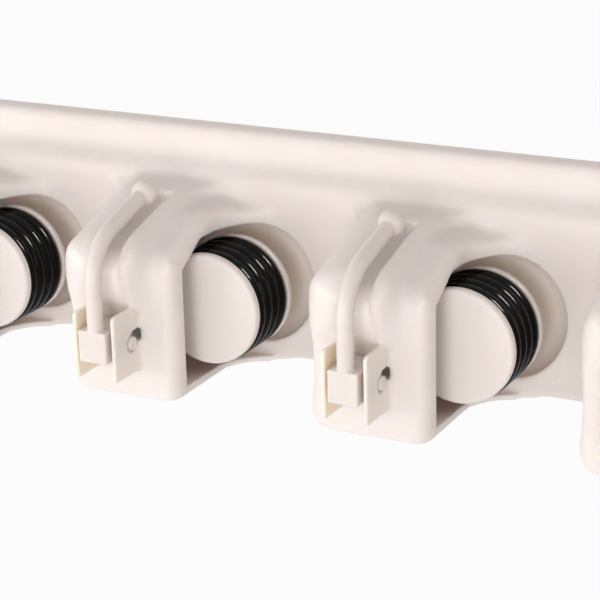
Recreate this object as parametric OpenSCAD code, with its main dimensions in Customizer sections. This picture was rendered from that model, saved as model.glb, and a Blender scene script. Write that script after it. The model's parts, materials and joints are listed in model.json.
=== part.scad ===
// Wall mop holder rack: one long ivory moulding with six hooded blocks, a gripping
// roller in the side of each of the first five, and a fold-away hook on every block.
// Millimetres. X runs along the rack, Y towards the wall and Z up.
// The origin lies on the wall, midway between the two screw holes.
// Depths are measured forward from the wall, heights up from the underside of the blocks.

/* [Rack] */
// Spacing of the blocks along the rack
pitch = 75; // [74:0.5:84]
// Height of the rail's top edge
rack_h = 66.2; // [65.6:0.2:70]
// Depth of the plate between the blocks
plate_d = 13.4; // [13:0.2:15]
// Height of the plate's lower edge
plate_low = 2; // [1.6:0.1:2.4]
// Depth of the rail along the top
rail_d = 7.6; // [6.4:0.2:8.6]
// Radius of the rail's rounded front
rail_r = 16; // [13:0.5:40]
// How far the plate stands up above the hoods before its shoulder
shoulder_rise = 2.6; // [1.6:0.2:3.6]
// Rounding of the plate's shoulder
shoulder_r = 5; // [3.6:0.2:6]
// Rounding of the valley between the shoulder and the rail
valley_r = 5; // [3.6:0.2:6]
// Rounding of the plate's lower edge
plate_low_r = 1.5; // [0.5:0.1:2]
// Plate beyond each end block, which takes a wall screw
end_tab = 14; // [13:0.5:22]
// Rounding of the rack's four outer corners
end_r = 8; // [3:0.5:9]
// Wall thickness of the moulding
wall = 2.4; // [2:0.1:2.8]
// Thickness of the rail's front
rail_skin = 3.6; // [3:0.1:4.4]
// Rounding of the corners of the open back
tray_r = 4; // [2:0.5:6]

/* [Wall screws] */
// Height of the screw line
screw_h = 42; // [34:0.5:46]
// Diameter of the screw hole
screw_d = 5; // [4:0.1:5.6]
// Diameter of the well that takes the screw's head
head_d = 9.4; // [8.6:0.1:9.8]
// Plastic under the screw's head
head_seat = 5; // [3:0.5:8]
// Wall around the screw's well
boss_wall = 1.2; // [1:0.1:1.6]

/* [Block] */
// Width of a block
block_w = 35; // [34:0.5:37]
// Depth of a block's front face
block_d = 51; // [50.4:0.1:51.2]
// How far the front of the hood's slope lies below its flat top
hood_drop = 8.5; // [6:0.1:9.5]
// Slope of the hood
hood_slope = 23; // [22:0.5:25]
// Rounding between the hood's front and its slope
hood_r = 8; // [6:0.5:10]
// Thickness of the hood's flat top, above the roller
roof_t = 6.3; // [5.5:0.1:7]
// Rounding of the flat top's edges
top_r = 1.5; // [0.5:0.1:2.4]
// Rounding of the left front edge
left_r = 5; // [3:0.5:6]
// Rounding of the right front edge, along the roller
right_r = 4; // [3:0.5:5]
// Rounding of the lower left corner
low_r = 7; // [4:0.5:8]
// Sweep of the block's floor and of the hood's eave into the plate, beside the roller
flank_r = 16; // [10:0.5:18]
// Height of the underside of that sweep at the floor
flank_low = 1; // [0.6:0.1:1.4]
// Rounding of the lower right corner
low_right_r = 1; // [0.5:0.1:2]
// Fillet from the block's left side to the plate, and from the last block's right side
channel_r = 9; // [6:0.5:10]
// How far the top of that fillet lies below the nose's slope
channel_drop = 6; // [4:0.5:8]

/* [Nose] */
// How far the nose, which carries the hook's groove, stands out of the block's front
nose_proud = 6.4; // [5.6:0.1:7.4]
// How far the nose's slope lies above the hood's, at their fronts
nose_rise = 4.2; // [3.4:0.1:4.8]
// Slope of the nose's top
nose_slope = 15; // [13:0.5:16]
// How far the nose's slope runs up the plate's shoulder
nose_lap = 1.4; // [0.6:0.1:2.4]
// Rounding between the nose's front and its slope
nose_r = 11; // [8:0.5:13]
// Rounding below the nose's front
belly_r = 7; // [5:0.5:8]
// How far that rounding starts below the top of the front
belly_drop = 9.7; // [9:0.1:10.7]
// Angle of the nose's underside from the vertical
belly_slope = 42; // [38:1:50]
// Distance of the nose's right side from the block's middle
nose_side = 9; // [8:0.5:10.5]
// Rounding of the nose's left side
nose_left_r = 11; // [8:0.5:12]
// Rounding of the nose's right side
nose_right_r = 4; // [2:0.5:4]
// Fillet from the nose's right side to the plate, above the hood
root_r = 8; // [5:0.5:8.5]
// How far the top of that fillet lies below the nose's slope
root_drop = 0.3; // [0.2:0.1:1]
// Gap between the ball and each side of the groove
groove_clear = 0.4; // [0.3:0.05:1]
// Distance of the groove's floor behind the middle of the hook's rod
groove_gap = 7.2; // [5.4:0.1:7.6]
// How far the groove runs on behind the ball's middle
groove_over = 8; // [6:0.5:10]

/* [Ears] */
// Distance between the two ears
ear_gap = 10.8; // [9:0.2:12]
// Thickness of an ear
ear_t = 1.2; // [1:0.1:1.8]
// How far the ears stand out of the block's front
ear_reach = 12.9; // [10:0.1:15]
// Height of the hook's pivot
pivot_h = 17; // [16:0.1:18]
// How far the pivot lies in front of the block
pivot_out = 3.7; // [3.6:0.1:4.4]
// How far the ears reach up above the pivot
ear_up = 10.1; // [7:0.1:10.2]
// How far the ears reach down below the pivot
ear_down = 8.9; // [6:0.1:12]
// How far the ears' roots run into the block
ear_root = 0.5; // [0.2:0.1:1]
// Rounding of the ears' front corners
ear_r = 1.6; // [0.5:0.1:3]
// Height of the notch behind the peg, which lets it snap in
notch_h = 2.4; // [1.6:0.1:2.6]

/* [Hook] */
// Diameter of the pegs
peg_d = 5; // [4:0.1:5.4]
// Radial clearance of the pegs in the ears
peg_clear = 0.05; // [0.03:0.01:0.1]
// How far the pegs stand out of the ears
peg_proud = 0.3; // [0:0.1:1]
// Width of the hook's foot
foot_w = 7.6; // [6:0.1:8.4]
// Plastic of the foot in front of the rod
foot_skin = 0.1; // [0.05:0.05:1.2]
// Height of the foot above the pivot
foot_rise = 5.6; // [4.6:0.1:7]
// Gap between the foot and the block's front face
foot_clear = 0.3; // [0.3:0.05:0.6]
// Diameter of the rod
rod_d = 4.6; // [4:0.1:5.2]
// Distance of the upright rod's middle in front of the nose
rod_out = 5; // [4.4:0.1:5.6]
// Radius of the rod's bend, along its middle
bend_r = 14; // [10:0.5:15]
// Height of the rod's upper part above the nose's slope
arm_rise = 3; // [2.6:0.1:3.6]
// Reach of the upper part, from the upright rod back to the ball's middle
arm_reach = 28.4; // [24:0.2:29]
// Diameter of the ball
ball_d = 7.3; // [6:0.1:8]

/* [Roller pocket] */
// Thickness of the block's front at the pocket's rim
rim_d = 6; // [5:0.1:7]
// Thickness of the hood at the pocket's rim, above its front corner
rim_t = 3.8; // [2.8:0.1:5]
// Height of the pocket's floor
pocket_low = 2.6; // [2:0.1:4]
// Gap between the lifted roller and the pocket's roof
roof_clear = 1.25; // [0.6:0.05:1.6]
// Run of the roof's slope, from the pocket's front corner back
roof_run = 10.4; // [7:0.1:10.6]
// Gap between the lifted roller and the pocket's inner side
side_clear = 0.8; // [0.4:0.1:2]
// Thickness of the block's front wall inside the pocket
front_wall = 3; // [2.4:0.1:4]
// How far the dish behind the roller reaches past the rings
dish_rim = 1.7; // [1.2:0.1:2.2]
// Width of the plate below the dish
dish_lip = 4.4; // [3.6:0.1:5.2]
// Depth of the dish below the plate
dish_deep = 7; // [6:0.2:7.4]
// Rounding at the bottom of the dish
dish_round = 6; // [3:0.5:6.6]
// Distance of the dish's middle from the resting axle, along the rack
dish_over = 3.5; // [2:0.1:4.5]
// Thickness of the dish's floor
dish_floor = 2; // [1.6:0.1:2.4]

/* [Roller track] */
// Distance of the resting axle from the block's right side
axle_out = 2.3; // [2:0.1:5]
// How far the resting axle lies below the dish's middle
axle_drop = 1.5; // [0.5:0.1:2]
// Travel of the roller up its track
travel = 8; // [4:0.5:8]
// Slope of the track
track_slope = 12; // [8:1:12]
// Clearance on each side of the spindle in its slot
slot_clear = 0.1; // [0.05:0.01:0.15]
// Clearance around the sliding shoe
shoe_clear = 0.3; // [0.25:0.05:0.4]
// Thickness of the rails that guide the shoe
guide_t = 1.6; // [1.2:0.1:2]

/* [Roller] */
// How far the roller's face lies behind the pocket's front edge
face_set = 7.6; // [7.4:0.1:9]
// Gap between the plate and the back of the roller
rear_gap = 3.3; // [1:0.1:5]
// Radius over the rubber rings
ring_out = 16.3; // [15.6:0.1:16.4]
// Room along the axle that a ring asks for; the number of rings follows from it
ring_room = 4.1; // [3.2:0.1:5.4]
// Gap between neighbouring rings
ring_gap = 0.2; // [0.1:0.05:0.4]
// How far each ring sits in its groove
ring_sink = 0.6; // [0.3:0.1:1]
// Radius of the front cap
cap_r = 15.9; // [15:0.1:16.2]
// Thickness of the front cap
cap_t = 2.3; // [2:0.1:3]
// Rounding of the front cap's edge
cap_round = 1.2; // [0.6:0.1:1.5]
// Radius of the cap's plug
plug_r = 9; // [8.2:0.1:10]
// Length of the cap's plug
plug_len = 3.2; // [2.8:0.1:4]
// Gap between the plug and the washer inside it
plug_clear = 0.8; // [0.4:0.1:1]
// Thickness of the rear flange
flange_t = 2; // [1.5:0.1:3]

/* [Spindle] */
// Diameter of the neck that slides in the slot
neck_d = 9; // [8:0.1:10]
// Diameter of the journal that the roller turns on
journal_d = 7; // [6:0.1:7.6]
// Radial clearance of the roller on its journal
journal_clear = 0.06; // [0.03:0.01:0.1]
// Gap at each end of the turning roller
end_gap = 0.3; // [0.3:0.05:0.6]
// Diameter of the spindle's tip, inside the washer
tip_d = 5; // [4:0.1:5.4]
// Diameter of the retaining washer
washer_d = 13; // [10:0.1:14]
// Thickness of the retaining washer
washer_t = 1.2; // [1:0.1:1.6]
// Length of the sliding shoe along the track
shoe_len = 16; // [14:0.5:20]
// Width of the sliding shoe
shoe_w = 13; // [11:0.5:14]
// Thickness of the sliding shoe
shoe_t = 2.2; // [1.6:0.1:2.4]

/* [Hidden] */
$fn = 96;

ivory = [0.93, 0.89, 0.86];
hook_ivory = [0.96, 0.93, 0.90];
rubber_black = [0.08, 0.08, 0.08];
nylon_grey = [0.72, 0.70, 0.67];
steel_grey = [0.62, 0.63, 0.65];

blocks = 6;
bays = 5;
// Small overlap between shapes that are joined, and between a rounding and its straight sides
eps = 0.01;
// How far outlines that share a face stand off each other, so that their roundings cross it cleanly
skim = 0.05;
// How far cuts and webs run past the faces that they meet
over = 1;

half = block_w / 2;
rack_len = (blocks - 1) * pitch + block_w + 2 * end_tab;
screw_x = (rack_len - end_tab) / 2;

dish_r = ring_out + dish_rim;
dish_h = plate_low + dish_lip + dish_r;
dish_back = plate_d - dish_deep - dish_floor;
axle_x = half + axle_out;
axle_h = dish_h - axle_drop;

pocket_d = block_d - rim_d;
pocket_h = axle_h + travel * sin(track_slope) + ring_out + roof_clear;
pocket_left = axle_x - travel * cos(track_slope) - ring_out - side_clear;
hollow_right = pocket_left - wall;
hood_top = pocket_h + roof_t;
hood_h = hood_top - hood_drop;
pocket_front_h = hood_h - rim_t;

shoulder_h = hood_top + shoulder_rise;
shoulder_turn = acos(1 - (plate_d - rail_d) / (shoulder_r + valley_r));
rail_low = shoulder_h + (shoulder_r + valley_r) * sin(shoulder_turn);

nose_d = block_d + nose_proud;
nose_h = hood_h + nose_rise;
nose_top = shoulder_h + nose_lap;
belly_h = nose_h - belly_drop;

pivot_d = block_d + pivot_out;
foot_drop = pivot_out - foot_clear;
rod_depth = nose_d + rod_out;
rod_corner_h = nose_h - rod_out * tan(nose_slope) + arm_rise;
ball_depth = rod_depth - arm_reach;
ball_h = rod_corner_h + arm_reach * tan(nose_slope);
groove_w = ball_d + 2 * groove_clear;

face_d = pocket_d - face_set;
cap_back = face_d - cap_t;
hub_seat = cap_back - plug_len;
hub_rear = plate_d + rear_gap;
spool_len = cap_back - hub_rear - flange_t;
ring_count = max(1, round(spool_len / ring_room));
ring_step = spool_len / ring_count;
ring_t = ring_step - ring_gap;
core_r = ring_out - ring_t + ring_sink;
bore_r = journal_d / 2 + journal_clear;

// Extrudes a (Y, Z) outline from x0 to x1.
module along_x(x0, x1) {
    translate([x0, 0, 0])
        rotate([90, 0, 90])
            linear_extrude(x1 - x0)
                children();
}

// Extrudes an (X, Z) outline forward, from depth d0 to depth d1.
module along_y(d0, d1) {
    translate([0, -d0, 0])
        rotate([90, 0, 0])
            linear_extrude(d1 - d0)
                children();
}

// Turns a (radius, depth) outline about a line that runs forward from the wall.
module turned() {
    rotate([90, 0, 0])
        rotate_extrude()
            children();
}

// A round bar that runs forward, from depth d0 to depth d1.
module bar(r, d0, d1) {
    translate([0, -d0, 0])
        rotate([90, 0, 0])
            cylinder(r = r, h = d1 - d0);
}

// A rectangle whose corners, from the lower left round to the upper left, have their own radii.
module panel(x0, y0, x1, y1, ll = 0, lr = 0, ur = 0, ul = 0) {
    polygon([
        [x0 + ll, y0], [x1 - lr, y0], [x1, y0 + lr], [x1, y1 - ur],
        [x1 - ur, y1], [x0 + ul, y1], [x0, y1 - ul], [x0, y0 + ll],
    ]);
    corners = [
        [x0 + ll, y0 + ll, ll], [x1 - lr, y0 + lr, lr],
        [x1 - ur, y1 - ur, ur], [x0 + ul, y1 - ul, ul],
    ];
    for (c = corners)
        if (c[2] > 0)
            translate([c[0], c[1]])
                circle(c[2]);
}

// The web of a concave fillet in the first quadrant, with a lip that runs into both walls.
module web(r) {
    difference() {
        translate([-over, -over])
            square(r + over);
        translate([r, r])
            circle(r);
    }
}

// Side outline of a form with an upright front at depth d and a sloping top.
module sloped_side(d, h, slope, r, low = 0) {
    c = [-d + r, h - r * (1 - sin(slope)) / cos(slope)];
    polygon([
        [-d, low], [-d, c[1]], c, [c[0] - r * sin(slope), c[1] + r * cos(slope)],
        [0, h + d * tan(slope)], [0, low],
    ]);
    translate(c)
        circle(r + eps);
}

// A bar below the sloping top, with rounded upper edges along the slope.
module sloped_bar(d, h, slope, x0, x1, left, right) {
    run = 2 * d;
    translate([0, -d, h])
        rotate([slope, 0, 0])
            along_y(-run, d)
                panel(x0, -run, x1, 0, ur = right, ul = left);
}

module at_block(i) {
    translate([(i - (blocks + 1) / 2) * pitch, 0, 0])
        children();
}

// Moves to the resting axle of roller i, with X down along its track.
module at_axle(i) {
    at_block(i)
        translate([axle_x, 0, axle_h])
            rotate([0, track_slope, 0])
                children();
}

// Cross-section of the plate and of the rail along its top, joined by an S-shaped shoulder.
module rail_section() {
    shoulder = [-plate_d + shoulder_r, shoulder_h];
    valley = [-rail_d - valley_r, rail_low];
    meeting = shoulder + shoulder_r * [-cos(shoulder_turn), sin(shoulder_turn)];
    panel(-plate_d, plate_low, 0, shoulder_h, ll = plate_low_r);
    translate(shoulder)
        circle(shoulder_r);
    difference() {
        polygon([[0, shoulder_h], shoulder, meeting, [-rail_d, rail_low], [0, rail_low]]);
        translate(valley)
            circle(valley_r - skim);
    }
    intersection() {
        translate([-rail_d, rail_low - skim])
            square([rail_d, rack_h - rail_low + skim]);
        translate([rail_r - rail_d, rail_low])
            circle(rail_r);
    }
}

module long_moulding() {
    end = rack_len / 2;
    intersection() {
        along_x(-end - skim, end + skim)
            rail_section();
        along_y(-over, plate_d + over)
            panel(-end, plate_low - skim, end, rack_h + skim, end_r, end_r, end_r, end_r);
    }
}

// The hood that covers the roller: upright walls, a sloping top with rounded edges and a flat end.
module hood() {
    intersection() {
        linear_extrude(hood_top)
            panel(-half, -block_d, half, -wall, ll = left_r, lr = right_r);
        sloped_bar(block_d, hood_h, hood_slope, -half - skim, half + skim, left_r, right_r);
        along_x(-half - over, half + over)
            sloped_side(block_d + skim, hood_h + skim, hood_slope, hood_r, -over);
        along_y(0, block_d + over)
            panel(-half - skim, -skim, half + skim, hood_top + skim, low_r, low_right_r, top_r, top_r);
    }
}

// Concave blend from the block's right side to the plate, from height h0 to height h1.
module right_blend(r, h0, h1) {
    translate([half, -plate_d, h0])
        linear_extrude(h1 - h0)
            rotate(-90)
                web(r);
}

// Concave blend from the block's left side to the plate, which falls away along the nose's slope.
module left_blend() {
    intersection() {
        linear_extrude(nose_top - root_drop)
            translate([-half, -plate_d])
                rotate(180)
                    web(channel_r);
        along_x(-half - channel_r - over, -half + wall)
            sloped_side(nose_d, nose_h - channel_drop, nose_slope, nose_r, plate_low);
    }
}

// Side outline of the nose: a sloping top, a round front and an underside that runs back into the block.
module nose_outline() {
    front = nose_d + skim;
    belly = [-front + belly_r, belly_h];
    under = belly - belly_r * [cos(belly_slope), sin(belly_slope)];
    inside = -block_d + wall;
    end = [inside, under[1] - (inside - under[0]) / tan(belly_slope)];
    difference() {
        sloped_side(front, nose_h + skim, nose_slope, nose_r);
        polygon([
            [-front - over, belly_h], belly, under, end,
            [0, end[1]], [0, -over], [-front - over, -over],
        ]);
    }
    translate(belly)
        circle(belly_r + eps);
}

// The nose that stands forward of the hood and carries the hook's groove.
module nose() {
    intersection() {
        linear_extrude(nose_top)
            panel(-half, -nose_d, nose_side, -wall, ll = nose_left_r, lr = nose_right_r);
        sloped_bar(nose_d, nose_h, nose_slope, -half - skim, nose_side + skim, nose_left_r, nose_right_r);
        along_x(-half - over, half + over)
            nose_outline();
    }
    intersection() {
        linear_extrude(nose_top - root_drop)
            translate([nose_side, -plate_d])
                rotate(-90)
                    web(root_r);
        along_x(0, half + over)
            sloped_side(nose_d, nose_h - root_drop, nose_slope, nose_r);
    }
}

// Clears the space behind the hook's rod and ball.
module groove() {
    floor_d = rod_depth - groove_gap;
    floor_h = rod_corner_h + groove_gap * (tan(nose_slope) - 1 / cos(nose_slope));
    along_x(-groove_w / 2, groove_w / 2)
        difference() {
            translate([-nose_d - over, belly_h - 2 * belly_r])
                square([nose_d + over - ball_depth + groove_over, rack_h]);
            sloped_side(floor_d, floor_h, nose_slope, bend_r - groove_gap);
        }
}

// Two thin plates on the block's front, each with the bearing of the hook's peg and a notch behind it.
module ears() {
    for (side = [-1, 1])
        along_x(side * (ear_gap + ear_t) / 2 - ear_t / 2, side * (ear_gap + ear_t) / 2 + ear_t / 2)
            difference() {
                panel(
                    -block_d - ear_reach, pivot_h - ear_down, -block_d + ear_root, pivot_h + ear_up,
                    ll = ear_r, ul = ear_r
                );
                translate([-pivot_d, pivot_h])
                    circle(peg_d / 2 + peg_clear);
                translate([-pivot_d, pivot_h])
                    square([pivot_out, notch_h]);
            }
}

// The space that the roller moves in, open on the block's right side up to the dish's middle.
module pocket() {
    along_x(pocket_left, axle_x + dish_over)
        polygon([
            [-pocket_d, pocket_low], [-pocket_d, pocket_front_h],
            [-pocket_d + roof_run, pocket_h],
            [-plate_d, pocket_h], [-plate_d, pocket_low],
        ]);
    along_x(pocket_left, half - front_wall)
        panel(-block_d + front_wall, pocket_low, -pocket_d + over, pocket_front_h - wall);
}

// The round dish behind the roller.
module dish() {
    translate([axle_x + dish_over, dish_deep - plate_d, dish_h])
        turned()
            panel(0, 0, dish_r, dish_deep + flank_r + over, lr = dish_round);
}

// An oblong bar along the track, from depth d0 to depth d1.
module track_bar(r, x0, x1, d0, d1) {
    for (x = [x0, x1])
        translate([x, 0, 0])
            bar(r, d0, d1);
    along_x(x0, x1)
        translate([-d1, -r])
            square([d1 - d0, 2 * r]);
}

// Rails behind the dish that keep the sliding shoe from turning.
module shoe_guides() {
    for (side = [-1, 1])
        along_x(-travel - shoe_len / 2 - over, shoe_len / 2 + over)
            translate([-dish_back - over, side * (shoe_w + guide_t + 2 * shoe_clear) / 2 - guide_t / 2])
                square([shoe_t + shoe_clear + over, guide_t]);
}

// The open back: a shallow tray behind the plate and the rail, with its ribs, bosses and
// dish walls left standing.
module back_hollow() {
    inner_x = rack_len / 2 - wall;
    difference() {
        union() {
            along_y(-over, plate_d - wall)
                panel(-inner_x, plate_low + wall, inner_x, shoulder_h, tray_r, tray_r, tray_r, tray_r);
            along_y(-over, rail_d - rail_skin)
                panel(-inner_x, plate_low + wall, inner_x, rack_h - wall, tray_r, tray_r, tray_r, tray_r);
        }
        for (side = [-1, 1])
            translate([side * screw_x, 0, screw_h])
                bar(head_d / 2 + boss_wall, 0, plate_d);
        for (i = [1 : bays])
            at_axle(i) {
                track_bar(neck_d / 2 + wall, -travel, 0, dish_back, plate_d);
                shoe_guides();
            }
        for (i = [1 : bays])
            at_block(i)
                translate([axle_x + dish_over, 0, dish_h])
                    bar(dish_r + wall, dish_back, plate_d);
        for (i = [1 : blocks])
            at_block(i)
                translate([-half, -plate_d, 0])
                    cube([wall, plate_d, rack_h]);
    }
}

// The hollow inside a block, open at the back, from x0 to x1.
module block_hollow(x0, x1) {
    intersection() {
        along_x(x0, x1)
            sloped_side(block_d - front_wall, hood_h - front_wall, hood_slope, hood_r - front_wall, wall);
        along_y(-over, block_d)
            panel(-half + wall, wall, half - wall, hood_top - wall, ll = low_r - wall, lr = low_right_r);
    }
}

// The whole moulding: plate, rail, blocks, ears and the roller pockets.
module rack() {
    color(ivory) {
        difference() {
            union() {
                long_moulding();
                for (i = [1 : blocks])
                    at_block(i) {
                        hood();
                        nose();
                        left_blend();
                        if (i == blocks) {
                            right_blend(channel_r, plate_low, hood_top - top_r);
                        } else {
                            right_blend(flank_r, flank_low, pocket_low);
                            right_blend(flank_r, dish_h, hood_top - top_r);
                        }
                    }
            }
            back_hollow();
            for (i = [1 : blocks])
                at_block(i) {
                    groove();
                    block_hollow(-half + wall, i == blocks ? half - wall : hollow_right);
                }
            for (i = [1 : bays]) {
                at_block(i) {
                    pocket();
                    dish();
                }
                at_axle(i)
                    track_bar(neck_d / 2 + slot_clear, -travel, 0, 0, plate_d);
            }
            for (side = [-1, 1])
                translate([side * screw_x, 0, screw_h]) {
                    bar(screw_d / 2, -over, plate_d + over);
                    bar(head_d / 2, head_seat, plate_d + channel_r + over);
                }
        }
        for (i = [1 : blocks])
            at_block(i)
                ears();
    }
}

// A fold-away hook: a foot with two pegs, a bent rod and a ball.
module hook() {
    bend = [-rod_depth + bend_r, rod_corner_h - bend_r * tan(45 - nose_slope / 2)];
    foot_d = rod_depth + rod_d / 2 + foot_skin;
    bend_end = bend + bend_r * [-sin(nose_slope), cos(nose_slope)];
    color(hook_ivory) {
        along_x(-foot_w / 2, foot_w / 2)
            union() {
                translate([-pivot_d, pivot_h])
                    circle(foot_drop);
                translate([-foot_d, pivot_h - foot_drop])
                    square([foot_d - pivot_d, foot_drop + foot_rise]);
                translate([-pivot_d - eps, pivot_h])
                    square([foot_drop + eps, foot_rise]);
            }
        along_x(-ear_gap / 2 - ear_t - peg_proud, ear_gap / 2 + ear_t + peg_proud)
            translate([-pivot_d, pivot_h])
                circle(peg_d / 2);
        translate([0, -rod_depth, pivot_h])
            cylinder(r = rod_d / 2 + eps, h = bend[1] + eps - pivot_h);
        translate([0, bend[0], bend[1]])
            rotate([90, 0, 90])
                rotate(90 + nose_slope)
                    rotate_extrude(angle = 90 - nose_slope)
                        translate([bend_r, 0])
                            circle(d = rod_d);
        translate([0, bend_end[0], bend_end[1]])
            rotate([nose_slope - 90, 0, 0])
                translate([0, 0, -eps])
                    cylinder(r = rod_d / 2 + eps, h = norm([-ball_depth, ball_h] - bend_end));
        translate([0, -ball_depth, ball_h])
            sphere(d = ball_d);
    }
}

// The four rubber rings, as one outline to turn.
module ring_outline() {
    for (k = [0 : ring_count - 1])
        translate([ring_out - ring_t / 2, cap_back - (k + 0.5) * ring_step])
            circle(d = ring_t);
}

// The spool that the rings sit on, with its rear flange and a socket for the cap's plug.
module hub() {
    color(ivory)
        turned()
            difference() {
                union() {
                    translate([bore_r, hub_rear])
                        square([ring_out - bore_r, flange_t]);
                    translate([bore_r, hub_rear])
                        square([core_r - bore_r, hub_seat - hub_rear]);
                    translate([plug_r, hub_rear])
                        square([core_r - plug_r, cap_back - hub_rear]);
                }
                ring_outline();
            }
}

module rings() {
    color(rubber_black)
        turned()
            ring_outline();
}

// The front cap: a disc with a rounded edge and a plug that presses into the hub.
module cap() {
    color(ivory)
        turned()
            union() {
                panel(0, cap_back, cap_r, face_d, ur = cap_round);
                translate([washer_d / 2 + plug_clear, hub_seat])
                    square([plug_r - washer_d / 2 - plug_clear, plug_len + eps]);
            }
}

// The spindle: a shoe that slides behind the dish, a neck through the slot and the roller's journal.
module spindle() {
    shoe_front = dish_back - shoe_clear;
    color(nylon_grey) {
        translate([-shoe_len / 2, -shoe_front, -shoe_w / 2])
            cube([shoe_len, shoe_t, shoe_w]);
        bar(neck_d / 2, shoe_front - eps, hub_rear - end_gap);
        bar(journal_d / 2, hub_rear - end_gap - eps, hub_seat + end_gap);
        bar(tip_d / 2, hub_seat, hub_seat + end_gap + washer_t);
    }
}

// The washer that keeps the hub on its journal.
module washer() {
    color(steel_grey)
        turned()
            translate([tip_d / 2, hub_seat + end_gap])
                square([(washer_d - tip_d) / 2, washer_t]);
}

// Puts the finished pieces on the screw line.
module placed() {
    translate([0, 0, -screw_h])
        children();
}

placed() rack();
for (i = [1 : blocks])
    placed() at_block(i) hook();
for (i = [1 : bays]) {
    placed() at_axle(i) hub();
    placed() at_axle(i) rings();
    placed() at_axle(i) cap();
    placed() at_axle(i) spindle();
    placed() at_axle(i) washer();
}
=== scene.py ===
"""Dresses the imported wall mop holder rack: a softened ivory moulding, satin hooks and ringed rollers.

Metres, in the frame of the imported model: X along the rack, Y towards the wall, Z up.
"""

import json
import math

import bpy
import numpy as np
from mathutils import Matrix, Vector


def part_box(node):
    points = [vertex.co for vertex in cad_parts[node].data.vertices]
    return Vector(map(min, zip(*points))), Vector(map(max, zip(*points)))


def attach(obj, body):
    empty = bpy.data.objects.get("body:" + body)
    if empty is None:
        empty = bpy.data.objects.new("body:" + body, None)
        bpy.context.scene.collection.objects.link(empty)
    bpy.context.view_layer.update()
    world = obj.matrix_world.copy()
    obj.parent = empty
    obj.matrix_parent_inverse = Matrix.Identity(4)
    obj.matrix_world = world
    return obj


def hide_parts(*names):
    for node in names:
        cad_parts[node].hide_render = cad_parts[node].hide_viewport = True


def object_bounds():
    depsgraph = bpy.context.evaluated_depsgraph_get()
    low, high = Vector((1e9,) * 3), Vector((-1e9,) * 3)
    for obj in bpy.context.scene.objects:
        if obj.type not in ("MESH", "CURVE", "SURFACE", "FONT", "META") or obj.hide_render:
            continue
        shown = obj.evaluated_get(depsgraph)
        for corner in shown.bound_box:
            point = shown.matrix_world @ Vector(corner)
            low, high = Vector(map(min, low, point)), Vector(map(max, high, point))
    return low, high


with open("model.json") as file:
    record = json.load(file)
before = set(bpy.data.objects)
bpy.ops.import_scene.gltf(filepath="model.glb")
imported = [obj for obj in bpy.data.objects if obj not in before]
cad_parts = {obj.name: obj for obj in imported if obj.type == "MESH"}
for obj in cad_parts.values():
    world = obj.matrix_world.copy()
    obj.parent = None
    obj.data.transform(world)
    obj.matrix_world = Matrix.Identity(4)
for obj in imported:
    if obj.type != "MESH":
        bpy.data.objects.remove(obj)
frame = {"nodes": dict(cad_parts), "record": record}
cad_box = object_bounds()

scene = bpy.context.scene
MM = 0.001
UNIT = (0.0, 1.0)
HOOKS = sorted(name for name in frame["nodes"] if name.startswith("hook_"))
HUBS = sorted(name for name in frame["nodes"] if name.startswith("hub_"))
ROLLERS = [name.split("_")[1] for name in HUBS]

# The photograph's camera.
CAMERA_PLACE = Vector((0.2587, -0.5112, 0.1721))
CAMERA_AZIMUTH = math.radians(27.52)
CAMERA_ELEVATION = math.radians(19.03)
CAMERA_ROLL = math.radians(-1.44)
CAMERA_NEAR = 0.01
FOCAL_PIXELS = 2103.8
FRAME_PIXELS = 600
SENSOR_MM = 36.0

# Skins: the step of the even mesh, the faces that are kept, and the roundness of edges and blends.
RACK_STEP = 0.5 * MM
RACK_FACES = 150000
EDGE_SOFT = 0.45 * MM
BLEND_SOFT = 3.0 * MM
FRONT_SOFT = 4.5 * MM
HOOK_STEP = 0.3 * MM
HOOK_FACES = 9000
HOOK_SOFT = 0.35 * MM
HUB_STEP = 0.3 * MM
HUB_FACES = 14000
HUB_SOFT = 0.35 * MM
WELD_STEP = 0.001 * MM
SMOOTH_FACTOR = 0.5
WEIGHT_STEPS = 20

# Middles of the blocks along the rack, and the height of their underside.
BLOCKS = np.array([sum(corner.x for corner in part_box(hook)) / 2.0 for hook in HOOKS])
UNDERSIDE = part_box("rack")[0].z

# Zones of a block in its own millimetres: across from its middle, to either side of it, out from the wall
# and up from the underside. Each direction has the stretch where the zone fades in and where it fades out.
# The dish goes by its distance from the roller's axle, from a middle that is shifted to the right.
NOSE_TOP = {"across": ((-32, -26), (9, 15)), "out": ((6, 10), None), "up": ((27, 33), None)}
EAVE = {"across": ((9, 15), (36, 42)), "out": ((6, 10), None), "up": ((44, 47), None)}
RAIL = {"out": ((0.8, 3), None), "up": ((50, 56), None)}
PLATE_LIP = {"side": ((27, 30), None), "out": ((6, 9), None), "up": (None, (4, 8))}
HOOK_GROOVE = {"side": (None, (4.4, 6.5)), "out": ((22, 27), None), "up": ((30, 33), None)}
BELLY = {
    "across": (None, (12, 15)),
    "side": ((7, 8.5), None),
    "out": ((38, 44), None),
    "up": ((6, 12), (33, 44)),
}
THROAT_TOP = {"side": (None, (7, 8.5)), "out": ((42, 48), None), "up": ((28, 30), (30, 40))}
THROAT_DEEP = {"side": (None, (4.2, 4.8)), "out": ((42, 48), None), "up": ((20, 23), (30, 40))}
EARS = {"side": ((4.6, 5.2), (7, 7.6)), "out": ((50.5, 53), None), "up": ((7, 9), (27, 29))}
HOOK_FOOT = {"side": ((2.9, 3.3), (4.2, 5.0)), "up": (None, (23.2, 23.6))}
HOOK_PEGS = {"side": ((5.0, 5.5), None)}
DISH = {"axle": (None, (17.5, 19.5)), "out": (None, (14, 18))}
DISH_SHIFT = 3.5 * MM

# How much of the painted glow the right ear shows, the pegs' drawn-in width and the foot's filled-out
# width.
RIGHT_EAR_PAINTED_GLOW = 0.2
PEG_SHOW = 0.78
FOOT_SHOW = 1.14

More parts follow.
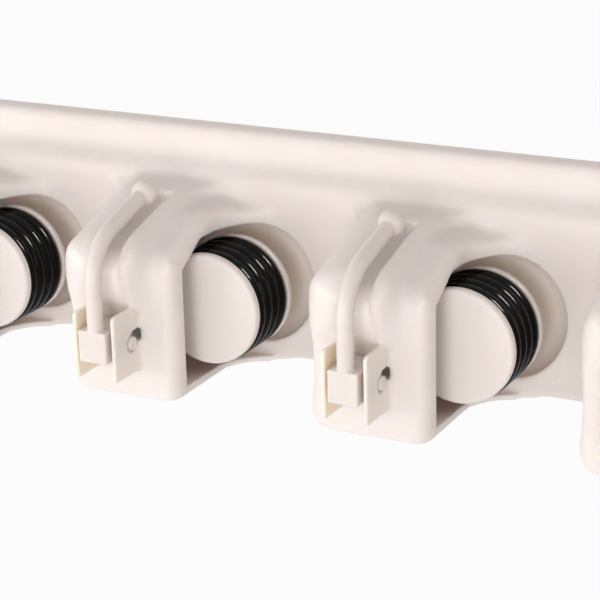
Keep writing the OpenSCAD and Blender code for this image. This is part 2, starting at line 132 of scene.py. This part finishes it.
# The window beside each peg, through the ear into the block: across, out and up, in the same millimetres.
WINDOW = ((2.5, 46.0, 16.8), (7.0, 54.7, 20.4))

# Noise values between which the tone drifts, the gloss is smudged and the dust gathers, the smudges' size
# as a share of the drift's, and the upward lean of a face where dust begins to lie and where it lies fully.
DRIFT_SPREAD = (0.35, 0.65)
SMUDGE_SPREAD = (0.3, 0.7)
SMUDGE_SHARE = 0.35
DUST_SPREAD = (0.4, 0.7)
DUST_LEAN = (0.1, 0.95)

# Tones and gloss that the plastics share, and those of the rubber. The thin ears' tone is a painted glow of
# light coming through them, and the dishes' tone is painted light that brightens their shade.
DUST_TONE = (0.45, 0.42, 0.4, 1.0)
# Painted glow: the warm colour of light shining through the thin ears.
PAINTED_GLOW_TONE = (0.89, 0.77, 0.66, 1.0)
# Painted light: a paler tone that brightens the shaded dishes behind the rollers.
PAINTED_LIGHT_TONE = (0.87, 0.797, 0.745, 1.0)
POLISH_ROUGHNESS = 0.16
PLASTIC_IOR = 1.49
GLOW_RADIUS = (1.0, 0.62, 0.38)
GLOW_DEPTH = 4.0 * MM
RUBBER_DUST_TONE = (0.12, 0.11, 0.1, 1.0)
RUBBER_IOR = 1.5
RUBBER_SPECULAR = 0.1

# Studio: the lamps' places, widths, heights and watts, the light of the surroundings and the pale floor.
LAMP_AIM = Vector((0.05, -0.03, 0.0))
SOFT_LAMPS = {
    "key_left": ((-1.0, -0.8, 0.05), 0.7, 0.7, 6.4),
    "key_front": ((0.15, -1.4, 0.1), 0.6, 0.6, 6.0),
    "fill_right": ((0.9, -1.1, 0.1), 0.7, 0.5, 2.1),
}
GLINT_STRIPS = {
    "strip_right": ((1.05, 0.05, 0.12), 0.1, 0.5, 26.0),
    "strip_above": ((0.75, -0.22, 0.9), 0.1, 0.4, 26.0),
}
WORLD_TONE = (1.0, 0.985, 0.97, 1.0)
WORLD_LIGHT = 0.57
FLOOR_TONE = (0.93, 0.93, 0.93, 1.0)
FLOOR_ROUGHNESS = 0.9
FLOOR_WHITE = 0.93
FLOOR_DROP = 0.16
FLOOR_HALF = 4.0


def ramp(value, start, end):
    """0 before start, 1 after end and a smooth rise between them."""
    t = np.clip((value - start) / (end - start), 0.0, 1.0)
    return t * t * (3.0 - 2.0 * t)


def in_zone(places, zone):
    """How far each point lies in a zone, from 0 to 1."""
    weight = 1.0
    for direction, (fade_in, fade_out) in zone.items():
        if fade_in:
            weight = weight * ramp(places[direction], *fade_in)
        if fade_out:
            weight = weight * (1 - ramp(places[direction], *fade_out))
    return weight


def coordinates(mesh):
    """The places of a mesh's vertices, one row each."""
    co = np.empty(len(mesh.vertices) * 3, np.float32)
    mesh.vertices.foreach_get("co", co)
    return co.reshape(-1, 3)


def block_places(co):
    """Each point's place in its nearest block, by direction, in millimetres."""
    nearest = BLOCKS[np.argmin(np.abs(co[:, :1] - BLOCKS), axis=1)]
    across = (co[:, 0] - nearest) / MM
    return {
        "across": across,
        "side": np.abs(across),
        "out": -co[:, 1] / MM,
        "up": (co[:, 2] - UNDERSIDE) / MM,
    }


def apply_modifiers(obj):
    """Turns what an object's modifiers make into its own mesh."""
    graph = bpy.context.evaluated_depsgraph_get()
    mesh = bpy.data.meshes.new_from_object(obj.evaluated_get(graph))
    obj.modifiers.clear()
    obj.data = mesh


def even_skin(node, name, step, cutter=None):
    """A copy of a CAD node's surface in small even faces, less the solid cutter."""
    obj = bpy.data.objects.new(name, frame["nodes"][node].data.copy())
    scene.collection.objects.link(obj)
    if cutter:
        weld = obj.modifiers.new("weld", "WELD")
        weld.merge_threshold = WELD_STEP
        cut = obj.modifiers.new("cut", "BOOLEAN")
        cut.operation = "DIFFERENCE"
        cut.object = cutter
    skin = obj.modifiers.new("skin", "REMESH")
    skin.mode = "VOXEL"
    skin.voxel_size = step
    apply_modifiers(obj)
    return obj


def weigh(obj, name, weight):
    """Stores a weight per vertex as a vertex group."""
    group = obj.vertex_groups.new(name=name)
    steps = np.round(weight * WEIGHT_STEPS).astype(int)
    for k in range(1, WEIGHT_STEPS + 1):
        chosen = np.nonzero(steps == k)[0]
        if len(chosen):
            group.add(chosen.tolist(), k / WEIGHT_STEPS, "REPLACE")


def soften(obj, step, width, group=""):
    """Rounds a surface off over about that width, by repeated averaging of neighbours."""
    smooth = obj.modifiers.new("soft", "SMOOTH")
    smooth.factor = SMOOTH_FACTOR
    smooth.iterations = max(1, round(2.0 * (width / step) ** 2 / SMOOTH_FACTOR))
    smooth.vertex_group = group


def thin_out(obj, faces):
    """Brings the mesh down to about that many triangles and shades it smooth."""
    thin = obj.modifiers.new("thin", "DECIMATE")
    triangles = 2.0 * len(obj.data.polygons)
    thin.ratio = min(1.0, faces / triangles)
    apply_modifiers(obj)
    obj.data.polygons.foreach_set("use_smooth", np.ones(len(obj.data.polygons), bool))


def peg_windows():
    """Boxes where the ears are open beside the pegs, as one object."""
    low, high = (np.array(corner) * MM for corner in WINDOW)
    corners = np.array([(x, y, z) for x in (0, 1) for y in (0, 1) for z in (0, 1)])
    faces = np.array([(0, 1, 3, 2), (4, 6, 7, 5), (0, 4, 5, 1), (2, 3, 7, 6), (0, 2, 6, 4), (1, 5, 7, 3)])
    points = []
    sides = []
    for middle in BLOCKS:
        for side in (-1, 1):
            across, out, up = (low + corners * (high - low)).T
            box = np.stack([middle + side * across, -out, UNDERSIDE + up], axis=1)
            # A box that is mirrored in one direction only has its faces turned back out.
            sides.extend((faces[:, ::-side] + len(points)).tolist())
            points.extend(box.tolist())
    mesh = bpy.data.meshes.new("peg_windows")
    mesh.from_pydata(points, [], sides)
    windows = bpy.data.objects.new("peg_windows", mesh)
    scene.collection.objects.link(windows)
    return windows


def mark(obj, name, value):
    """Stores a value per vertex for the materials."""
    layer = obj.data.attributes.new(name, "FLOAT", "POINT")
    layer.data.foreach_set("value", value.astype(np.float32))


def mark_painted_light_and_polish(rack):
    """Marks the thin ears for a painted glow of light coming through them, and the dishes behind the
    rollers for their gloss and for painted light that brightens their shade.
    """
    co = coordinates(rack.data)
    places = block_places(co)
    # Painted glow of light coming through the thin ears, weaker on the right ear.
    mark(rack, "thin", in_zone(places, EARS) * np.where(places["across"] < 0, 1.0, RIGHT_EAR_PAINTED_GLOW))
    # The dishes' mark sets their gloss and also paints light into their shade.
    polish = np.zeros(len(co))
    for i in ROLLERS:
        low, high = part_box(f"hub_{i}")
        middle = (low + high) / 2.0
        places["axle"] = np.hypot(co[:, 0] - middle.x - DISH_SHIFT, co[:, 2] - middle.z) / MM
        polish = np.maximum(polish, in_zone(places, DISH))
    mark(rack, "polish", polish)


def soft_rack():
    """The moulding with rounded edges and with the nose, the hood and the plate flowing into each other."""
    windows = peg_windows()
    rack = even_skin("rack", "rack_moulding", RACK_STEP, windows)
    bpy.data.objects.remove(windows)
    places = block_places(coordinates(rack.data))
    top = in_zone(places, NOSE_TOP) * (1 - in_zone(places, HOOK_GROOVE))
    blends = [top] + [in_zone(places, zone) for zone in (EAVE, RAIL, PLATE_LIP)]
    front = [in_zone(places, zone) for zone in (BELLY, THROAT_TOP, THROAT_DEEP)]
    weigh(rack, "blends", np.maximum.reduce(blends))
    weigh(rack, "front", np.maximum.reduce(front))
    soften(rack, RACK_STEP, EDGE_SOFT)
    soften(rack, RACK_STEP, BLEND_SOFT, "blends")
    soften(rack, RACK_STEP, FRONT_SOFT, "front")
    apply_modifiers(rack)
    thin_out(rack, RACK_FACES)
    mark_painted_light_and_polish(rack)
    return rack


def soft_piece(node, name, step, width, faces):
    """A node with its edges rounded."""
    piece = even_skin(node, name, step)
    soften(piece, step, width)
    apply_modifiers(piece)
    thin_out(piece, faces)
    return piece


def shape_hook(hook):
    """Draws the pegs in a little where they show in the ears' bearings, and fills the foot out sideways."""
    joints = frame["record"]["behaviour"]["joints"]
    pivot = next(joint for joint in joints if joint["child"] == HOOKS[0])["pos_m"]
    co = coordinates(hook.data)
    places = block_places(co)
    co[:, 0] += places["across"] * MM * (FOOT_SHOW - 1) * in_zone(places, HOOK_FOOT)
    narrow = 1 - (1 - PEG_SHOW) * in_zone(places, HOOK_PEGS)
    for axis in (1, 2):
        co[:, axis] = pivot[axis] + (co[:, axis] - pivot[axis]) * narrow
    hook.data.vertices.foreach_set("co", co.ravel())
    hook.data.update()


def repeat(first, nodes, ending):
    """A piece for each node: the first one as it is and copies of it at the places of the others."""
    pieces = {nodes[0]: first}
    for node in nodes[1:]:
        mesh = first.data.copy()
        mesh.transform(Matrix.Translation(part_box(node)[0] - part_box(nodes[0])[0]))
        pieces[node] = bpy.data.objects.new(node + ending, mesh)
        scene.collection.objects.link(pieces[node])
    return pieces


def add_group(name, inputs, outputs):
    """An empty shader node group with named sockets."""
    tree = bpy.data.node_groups.new(name, "ShaderNodeTree")
    for direction, sockets in (("INPUT", inputs), ("OUTPUT", outputs)):
        for label, kind, value in sockets:
            socket = tree.interface.new_socket(label, in_out=direction, socket_type=kind)
            if value is not None:
                socket.default_value = value
    return tree, tree.nodes.new("NodeGroupInput"), tree.nodes.new("NodeGroupOutput")


def add_math(tree, operation, first, second):
    """Joins two values, each a number or a socket."""
    node = tree.nodes.new("ShaderNodeMath")
    node.operation = operation
    for socket, value in zip(node.inputs, (first, second)):
        if isinstance(value, float):
            socket.default_value = value
        else:
            tree.links.new(value, socket)
    return node.outputs[0]


def add_noise(tree, size, detail, roughness):
    """Noise on object coordinates; size is a socket with the width of its patches in metres."""
    place = tree.nodes.new("ShaderNodeTexCoord")
    noise = tree.nodes.new("ShaderNodeTexNoise")
    noise.inputs["Detail"].default_value = detail
    noise.inputs["Roughness"].default_value = roughness
    tree.links.new(place.outputs["Object"], noise.inputs["Vector"])
    tree.links.new(add_math(tree, "DIVIDE", 1.0, size), noise.inputs["Scale"])
    return noise.outputs["Fac"]


def add_range(tree, value, source, target=UNIT):
    """Maps a value from one range to another, clamped; each end is a number or a socket."""
    remap = tree.nodes.new("ShaderNodeMapRange")
    tree.links.new(value, remap.inputs["Value"])
    for label, end in zip(("From Min", "From Max", "To Min", "To Max"), (*source, *target)):
        if isinstance(end, float):
            remap.inputs[label].default_value = end
        else:
            tree.links.new(end, remap.inputs[label])
    return remap.outputs["Result"]


def add_mix(tree, factor, first, second):
    """Mixes two colour sockets or constants by a factor socket."""
    mix = tree.nodes.new("ShaderNodeMix")
    mix.data_type = "RGBA"
    tree.links.new(factor, mix.inputs["Factor"])
    for label, colour in (("A", first), ("B", second)):
        socket = next(s for s in mix.inputs if s.name == label and s.type == "RGBA")
        if isinstance(colour, tuple):
            socket.default_value = colour
        else:
            tree.links.new(colour, socket)
    return next(s for s in mix.outputs if s.type == "RGBA")


def finish_group():
    """A surface as it leaves the tool: slow drift of the tone, fine grain and smudged gloss."""
    tree, given, made = add_group(
        "tone_grain_and_gloss",
        [
            ("Pale", "NodeSocketColor", (0.8, 0.72, 0.67, 1.0)),
            ("Deep", "NodeSocketColor", (0.76, 0.67, 0.62, 1.0)),
            ("Drift size", "NodeSocketFloat", 30.0 * MM),
            ("Grain size", "NodeSocketFloat", 0.4 * MM),
            ("Gloss low", "NodeSocketFloat", 0.32),
            ("Gloss high", "NodeSocketFloat", 0.46),
        ],
        [
            ("Colour", "NodeSocketColor", None),
            ("Roughness", "NodeSocketFloat", None),
            ("Grain", "NodeSocketFloat", None),
        ],
    )
    drift_size = given.outputs["Drift size"]
    drift = add_noise(tree, drift_size, detail=3.0, roughness=0.55)
    tone = add_range(tree, drift, DRIFT_SPREAD)
    tree.links.new(add_mix(tree, tone, given.outputs["Pale"], given.outputs["Deep"]), made.inputs["Colour"])
    smudge_size = add_math(tree, "MULTIPLY", drift_size, SMUDGE_SHARE)
    smudge = add_noise(tree, smudge_size, detail=4.0, roughness=0.6)
    gloss_ends = (given.outputs["Gloss low"], given.outputs["Gloss high"])
    gloss = add_range(tree, smudge, SMUDGE_SPREAD, gloss_ends)
    tree.links.new(gloss, made.inputs["Roughness"])
    grain = add_noise(tree, given.outputs["Grain size"], detail=2.0, roughness=0.5)
    tree.links.new(grain, made.inputs["Grain"])
    return tree


def dust_group():
    """Dust that settles on faces that look up, as a mask."""
    tree, given, made = add_group(
        "settled_dust",
        [("Amount", "NodeSocketFloat", 0.3), ("Patch size", "NodeSocketFloat", 4.0 * MM)],
        [("Mask", "NodeSocketFloat", None)],
    )
    normal = tree.nodes.new("ShaderNodeNewGeometry")
    split = tree.nodes.new("ShaderNodeSeparateXYZ")
    tree.links.new(normal.outputs["Normal"], split.inputs[0])
    upward = add_range(tree, split.outputs["Z"], DUST_LEAN)
    specks = add_noise(tree, given.outputs["Patch size"], detail=5.0, roughness=0.7)
    patches = add_range(tree, specks, DUST_SPREAD)
    settled = add_math(tree, "MULTIPLY", upward, patches)
    tree.links.new(add_math(tree, "MULTIPLY", settled, given.outputs["Amount"]), made.inputs["Mask"])
    return tree


FINISH = finish_group()
DUST = dust_group()


def place_group(tree, group, values):
    """Puts a node group into a material and sets its inputs."""
    node = tree.nodes.new("ShaderNodeGroup")
    node.node_tree = group
    for label, value in values.items():
        node.inputs[label].default_value = value
    return node


def add_bump(tree, height, strength, distance):
    """A normal that follows a height socket."""
    bump = tree.nodes.new("ShaderNodeBump")
    bump.inputs["Strength"].default_value = strength
    bump.inputs["Distance"].default_value = distance
    tree.links.new(height, bump.inputs["Height"])
    return bump.outputs["Normal"]


def vertex_mark(tree, name):
    """The value that a mesh stores per vertex under that name, or 0."""
    node = tree.nodes.new("ShaderNodeAttribute")
    node.attribute_name = name
    return node.outputs["Fac"]


def new_material(name):
    """A material with its node tree and its surface shader."""
    material = bpy.data.materials.new(name)
    material.use_nodes = True
    return material, material.node_tree, material.node_tree.nodes["Principled BSDF"]


def plastic(name, pale, deep, gloss, grain_size, grain_depth, dust, depth_glow):
    """A moulded plastic, with a painted glow on the thin ears and painted light in the dishes; depth_glow
    is the weight of the light that passes under its skin.
    """
    material, tree, surface = new_material(name)
    finish = place_group(
        tree,
        FINISH,
        {
            "Pale": (*pale, 1.0),
            "Deep": (*deep, 1.0),
            "Grain size": grain_size,
            "Gloss low": gloss[0],
            "Gloss high": gloss[1],
        },
    )
    settled = place_group(tree, DUST, {"Amount": dust})
    dusty = add_mix(tree, settled.outputs["Mask"], finish.outputs["Colour"], DUST_TONE)
    # Painted glow where light comes through the thin ears.
    with_painted_glow = add_mix(tree, vertex_mark(tree, "thin"), dusty, PAINTED_GLOW_TONE)
    # Painted light that brightens the shaded dishes; the same mark makes them glossier below.
    with_painted_light = add_mix(tree, vertex_mark(tree, "polish"), with_painted_glow, PAINTED_LIGHT_TONE)
    tree.links.new(with_painted_light, surface.inputs["Base Color"])
    gloss_ends = (finish.outputs["Roughness"], POLISH_ROUGHNESS)
    gloss_here = add_range(tree, vertex_mark(tree, "polish"), UNIT, gloss_ends)
    tree.links.new(gloss_here, surface.inputs["Roughness"])
    grain = add_bump(tree, finish.outputs["Grain"], strength=0.25, distance=grain_depth)
    tree.links.new(grain, surface.inputs["Normal"])
    surface.inputs["IOR"].default_value = PLASTIC_IOR
    surface.inputs["Subsurface Weight"].default_value = depth_glow
    surface.inputs["Subsurface Radius"].default_value = GLOW_RADIUS
    surface.inputs["Subsurface Scale"].default_value = GLOW_DEPTH
    return material


def rubber(name):
    """Smooth black rubber with a few dull, dusty patches."""
    material, tree, surface = new_material(name)
    finish = place_group(
        tree,
        FINISH,
        {
            "Pale": (0.003, 0.0027, 0.0028, 1.0),
            "Deep": (0.002, 0.0018, 0.0019, 1.0),
            "Drift size": 8.0 * MM,
            "Grain size": 0.6 * MM,
            "Gloss low": 0.1,
            "Gloss high": 0.2,
        },
    )
    settled = place_group(tree, DUST, {"Amount": 0.02, "Patch size": 2.0 * MM})
    dusty = add_mix(tree, settled.outputs["Mask"], finish.outputs["Colour"], RUBBER_DUST_TONE)
    tree.links.new(dusty, surface.inputs["Base Color"])
    tree.links.new(finish.outputs["Roughness"], surface.inputs["Roughness"])
    grain = add_bump(tree, finish.outputs["Grain"], strength=0.1, distance=0.05 * MM)
    tree.links.new(grain, surface.inputs["Normal"])
    surface.inputs["IOR"].default_value = RUBBER_IOR
    surface.inputs["Specular IOR Level"].default_value = RUBBER_SPECULAR
    return material


def steel(name):
    """Plain stamped steel with a fine grain."""
    material, tree, surface = new_material(name)
    finish = place_group(
        tree,
        FINISH,
        {
            "Pale": (0.6, 0.6, 0.61, 1.0),
            "Deep": (0.5, 0.5, 0.51, 1.0),
            "Drift size": 4.0 * MM,
            "Grain size": 0.2 * MM,
            "Gloss low": 0.25,
            "Gloss high": 0.4,
        },
    )
    tree.links.new(finish.outputs["Colour"], surface.inputs["Base Color"])
    tree.links.new(finish.outputs["Roughness"], surface.inputs["Roughness"])
    grain = add_bump(tree, finish.outputs["Grain"], strength=0.2, distance=0.02 * MM)
    tree.links.new(grain, surface.inputs["Normal"])
    surface.inputs["Metallic"].default_value = 1.0
    return material


IVORY = plastic(
    "ivory_plastic_satin",
    pale=(0.8, 0.737, 0.708),
    deep=(0.775, 0.706, 0.672),
    gloss=(0.36, 0.48),
    grain_size=0.5 * MM,
    grain_depth=0.06 * MM,
    dust=0.1,
    depth_glow=0.5,
)
CAP_IVORY = plastic(
    "cap_plastic_fine_grain",
    pale=(0.8, 0.73, 0.69),
    deep=(0.78, 0.7, 0.66),
    gloss=(0.4, 0.52),
    grain_size=0.3 * MM,
    grain_depth=0.08 * MM,
    dust=0.04,
    depth_glow=0.08,
)
HOOK_IVORY = plastic(
    "hook_plastic_clear_ivory",
    pale=(0.75, 0.69, 0.65),
    deep=(0.73, 0.665, 0.62),
    gloss=(0.26, 0.38),
    grain_size=0.5 * MM,
    grain_depth=0.04 * MM,
    dust=0.05,
    depth_glow=0.25,
)
HUB_IVORY = plastic(
    "hub_plastic_polished",
    pale=(0.8, 0.725, 0.68),
    deep=(0.77, 0.69, 0.64),
    gloss=(0.12, 0.2),
    grain_size=0.5 * MM,
    grain_depth=0.03 * MM,
    dust=0.02,
    depth_glow=0.2,
)
NYLON = plastic(
    "grey_nylon_plain",
    pale=(0.5, 0.48, 0.45),
    deep=(0.46, 0.44, 0.41),
    gloss=(0.35, 0.5),
    grain_size=0.4 * MM,
    grain_depth=0.05 * MM,
    dust=0.0,
    depth_glow=0.05,
)
RUBBER = rubber("black_rubber_smooth")
STEEL = steel("washer_steel")
ROLLER_FINISHES = {"cap": CAP_IVORY, "rings": RUBBER, "spindle": NYLON, "washer": STEEL}


def finish_with(obj, material):
    """Gives every material slot of an object the same material."""
    if not obj.material_slots:
        obj.data.materials.append(material)
    for slot in obj.material_slots:
        slot.material = material


def put_on(piece, node, body, material):
    """Puts a finished piece on a body, in the place of a CAD node."""
    finish_with(piece, material)
    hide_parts(node)
    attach(piece, body)


def dress():
    """Puts the softened pieces and the materials on the frame."""
    put_on(soft_rack(), "rack", "rack", IVORY)
    hook = soft_piece(HOOKS[0], HOOKS[0] + "_rod", HOOK_STEP, HOOK_SOFT, HOOK_FACES)
    shape_hook(hook)
    for node, piece in repeat(hook, HOOKS, "_rod").items():
        put_on(piece, node, node, HOOK_IVORY)
    spool = soft_piece(HUBS[0], HUBS[0] + "_spool", HUB_STEP, HUB_SOFT, HUB_FACES)
    for node, piece in repeat(spool, HUBS, "_spool").items():
        put_on(piece, node, node.replace("hub", "roller"), HUB_IVORY)
    for i in ROLLERS:
        for kind, material in ROLLER_FINISHES.items():
            finish_with(frame["nodes"][f"{kind}_{i}"], material)


def add_camera():
    """The camera at the photograph's place and angle."""
    ahead = Vector(
        (
            -math.sin(CAMERA_AZIMUTH) * math.cos(CAMERA_ELEVATION),
            math.cos(CAMERA_AZIMUTH) * math.cos(CAMERA_ELEVATION),
            -math.sin(CAMERA_ELEVATION),
        )
    )
    level = Vector((math.cos(CAMERA_AZIMUTH), math.sin(CAMERA_AZIMUTH), 0.0))
    upright = level.cross(ahead)
    right = math.cos(CAMERA_ROLL) * level + math.sin(CAMERA_ROLL) * upright
    up = math.cos(CAMERA_ROLL) * upright - math.sin(CAMERA_ROLL) * level
    data = bpy.data.cameras.new("photo_camera")
    data.sensor_width = SENSOR_MM
    data.lens = FOCAL_PIXELS / FRAME_PIXELS * SENSOR_MM
    data.clip_start = CAMERA_NEAR
    camera = bpy.data.objects.new("photo_camera", data)
    scene.collection.objects.link(camera)
    turn = Matrix((right, up, -ahead)).transposed().to_4x4()
    camera.matrix_world = Matrix.Translation(CAMERA_PLACE) @ turn
    scene.camera = camera


def add_lamp(name, place, width, height, watts):
    """A soft rectangular lamp that looks at the middle of the rack."""
    data = bpy.data.lights.new(name, "AREA")
    data.shape = "RECTANGLE"
    data.size = width
    data.size_y = height
    data.energy = watts
    lamp = bpy.data.objects.new(name, data)
    lamp.location = place
    lamp.rotation_euler = (LAMP_AIM - Vector(place)).to_track_quat("-Z", "Y").to_euler()
    scene.collection.objects.link(lamp)
    return lamp


def add_lamps():
    """Three soft lamps from the front and the sides, and two strips that only glint on rings and hubs."""
    for name, setting in SOFT_LAMPS.items():
        add_lamp(name, *setting)
    glossy = bpy.data.collections.new("glossy_pieces")
    for i in ROLLERS:
        glossy.objects.link(frame["nodes"][f"rings_{i}"])
        glossy.objects.link(bpy.data.objects[f"hub_{i}_spool"])
    for name, setting in GLINT_STRIPS.items():
        strip = add_lamp(name, *setting)
        strip.visible_diffuse = False
        strip.light_linking.receiver_collection = glossy


def white_to_the_eye(tree):
    """A factor that is 1 for what the camera sees, straight or in a reflection."""
    path = tree.nodes.new("ShaderNodeLightPath")
    either = path.outputs["Is Camera Ray"]
    for label in ("Is Glossy Ray", "Is Transmission Ray"):
        either = add_math(tree, "MAXIMUM", either, path.outputs[label])
    return either


def add_surroundings():
    """White surroundings that light the rack less than they show."""
    world = bpy.data.worlds.new("studio")
    scene.world = world
    world.use_nodes = True
    tree = world.node_tree
    background = tree.nodes["Background"]
    background.inputs["Color"].default_value = WORLD_TONE
    seen = add_range(tree, white_to_the_eye(tree), UNIT, (WORLD_LIGHT, 1.0))
    tree.links.new(seen, background.inputs["Strength"])


def add_floor():
    """A pale floor well below the rack, nearly white to the eye."""
    low = cad_box[0][2] - FLOOR_DROP
    corners = [(x * FLOOR_HALF, y * FLOOR_HALF, low) for x, y in ((-1, -1), (1, -1), (1, 1), (-1, 1))]
    mesh = bpy.data.meshes.new("studio_floor")
    mesh.from_pydata(corners, [], [(0, 1, 2, 3)])
    floor = bpy.data.objects.new("studio_floor", mesh)
    scene.collection.objects.link(floor)
    material, tree, surface = new_material("studio_floor_paint")
    surface.inputs["Base Color"].default_value = FLOOR_TONE
    surface.inputs["Roughness"].default_value = FLOOR_ROUGHNESS
    glow = tree.nodes.new("ShaderNodeEmission")
    share = tree.nodes.new("ShaderNodeMixShader")
    white = add_range(tree, white_to_the_eye(tree), UNIT, (0.0, FLOOR_WHITE))
    tree.links.new(white, share.inputs["Fac"])
    tree.links.new(surface.outputs["BSDF"], share.inputs[1])
    tree.links.new(glow.outputs["Emission"], share.inputs[2])
    tree.links.new(share.outputs["Shader"], tree.nodes["Material Output"].inputs["Surface"])
    floor.data.materials.append(material)


dress()
add_camera()
add_surroundings()
add_floor()
add_lamps()
scene.view_settings.view_transform = "Standard"
